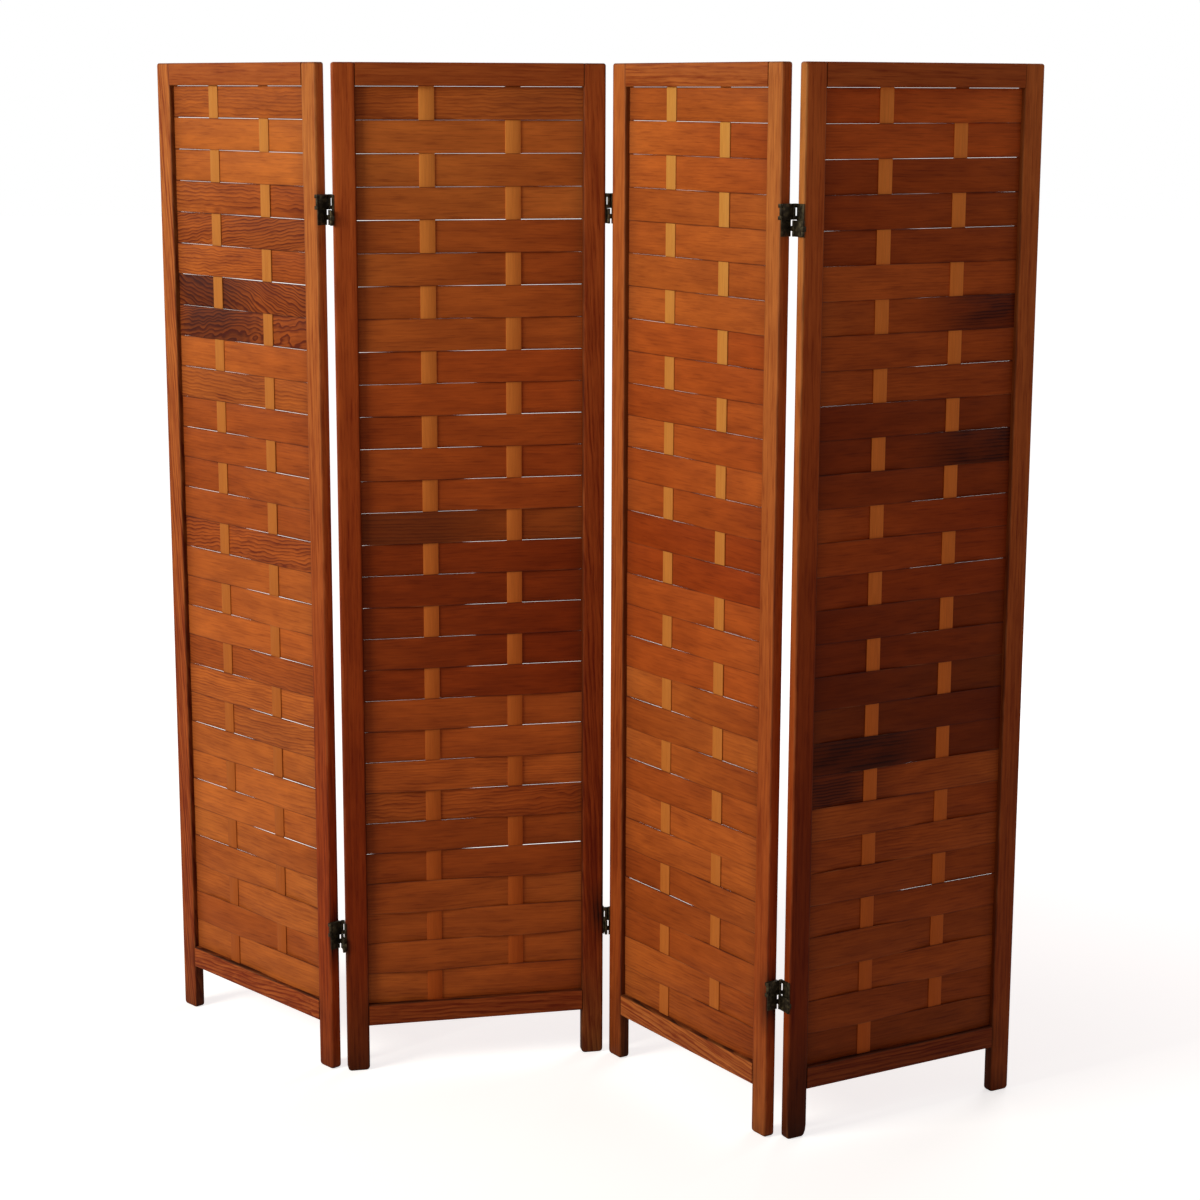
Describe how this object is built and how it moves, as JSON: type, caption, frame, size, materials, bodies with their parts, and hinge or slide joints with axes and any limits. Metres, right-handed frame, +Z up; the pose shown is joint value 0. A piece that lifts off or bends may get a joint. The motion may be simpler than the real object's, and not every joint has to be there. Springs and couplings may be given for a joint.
{
  "type": "folding screen",
  "caption": "Free-standing folding screen of hinged wooden panels, each a tenoned frame on feet filled with broad thin slats woven round upright strips.",
  "frame": {"origin": "on the floor, under the middle of the standing screen's bounding box", "axes": "+Z up, -Y towards the front that the picture shows, +X to the viewer's right"},
  "size_m": [1.4798, 0.6476, 1.727],
  "materials": {
    "frame_wood": "satin",
    "strip_wood": "satin",
    "slat_wood": "satin",
    "hinge_brass": "darkened"
  },
  "bodies": {
    "panel_1": {"panel_1_left_stile": "frame_wood", "panel_1_right_stile": "frame_wood", "panel_1_top_rail": "frame_wood", "panel_1_bottom_rail": "frame_wood", "panel_1_left_strip": "strip_wood", "panel_1_right_strip": "strip_wood", "panel_1_odd_slats": "slat_wood", "panel_1_even_slats": "slat_wood", "hinge_12_left_leaves": "hinge_brass", "hinge_12_upper_links": "hinge_brass"},
    "panel_2": {"panel_2_left_stile": "frame_wood", "panel_2_right_stile": "frame_wood", "panel_2_top_rail": "frame_wood", "panel_2_bottom_rail": "frame_wood", "panel_2_left_strip": "strip_wood", "panel_2_right_strip": "strip_wood", "panel_2_odd_slats": "slat_wood", "panel_2_even_slats": "slat_wood", "hinge_12_right_leaves": "hinge_brass", "hinge_12_lower_links": "hinge_brass", "hinge_23_left_leaves": "hinge_brass", "hinge_23_lower_links": "hinge_brass"},
    "panel_3": {"panel_3_left_stile": "frame_wood", "panel_3_right_stile": "frame_wood", "panel_3_top_rail": "frame_wood", "panel_3_bottom_rail": "frame_wood", "panel_3_left_strip": "strip_wood", "panel_3_right_strip": "strip_wood", "panel_3_odd_slats": "slat_wood", "panel_3_even_slats": "slat_wood", "hinge_23_right_leaves": "hinge_brass", "hinge_23_upper_links": "hinge_brass", "hinge_34_left_leaves": "hinge_brass", "hinge_34_upper_links": "hinge_brass"},
    "panel_4": {"panel_4_left_stile": "frame_wood", "panel_4_right_stile": "frame_wood", "panel_4_top_rail": "frame_wood", "panel_4_bottom_rail": "frame_wood", "panel_4_left_strip": "strip_wood", "panel_4_right_strip": "strip_wood", "panel_4_odd_slats": "slat_wood", "panel_4_even_slats": "slat_wood", "hinge_34_right_leaves": "hinge_brass", "hinge_34_lower_links": "hinge_brass"}
  },
  "joints": [
    {"name": "fold_12", "type": "hinge", "parent": "panel_2", "child": "panel_1", "pos_m": [-0.40961, -0.00663, 0], "axis": [0, 0, -1], "range_deg": [-59.2, 118.8]},
    {"name": "fold_23", "type": "hinge", "parent": "panel_2", "child": "panel_3", "pos_m": [0.04867, 0.07019, 0], "axis": [0, 0, -1], "range_deg": [-68.4, 109.6]},
    {"name": "fold_34", "type": "hinge", "parent": "panel_3", "child": "panel_4", "pos_m": [0.33016, -0.29952, 0], "axis": [0, 0, 1], "range_deg": [-85.3, 92.7]}
  ]
}
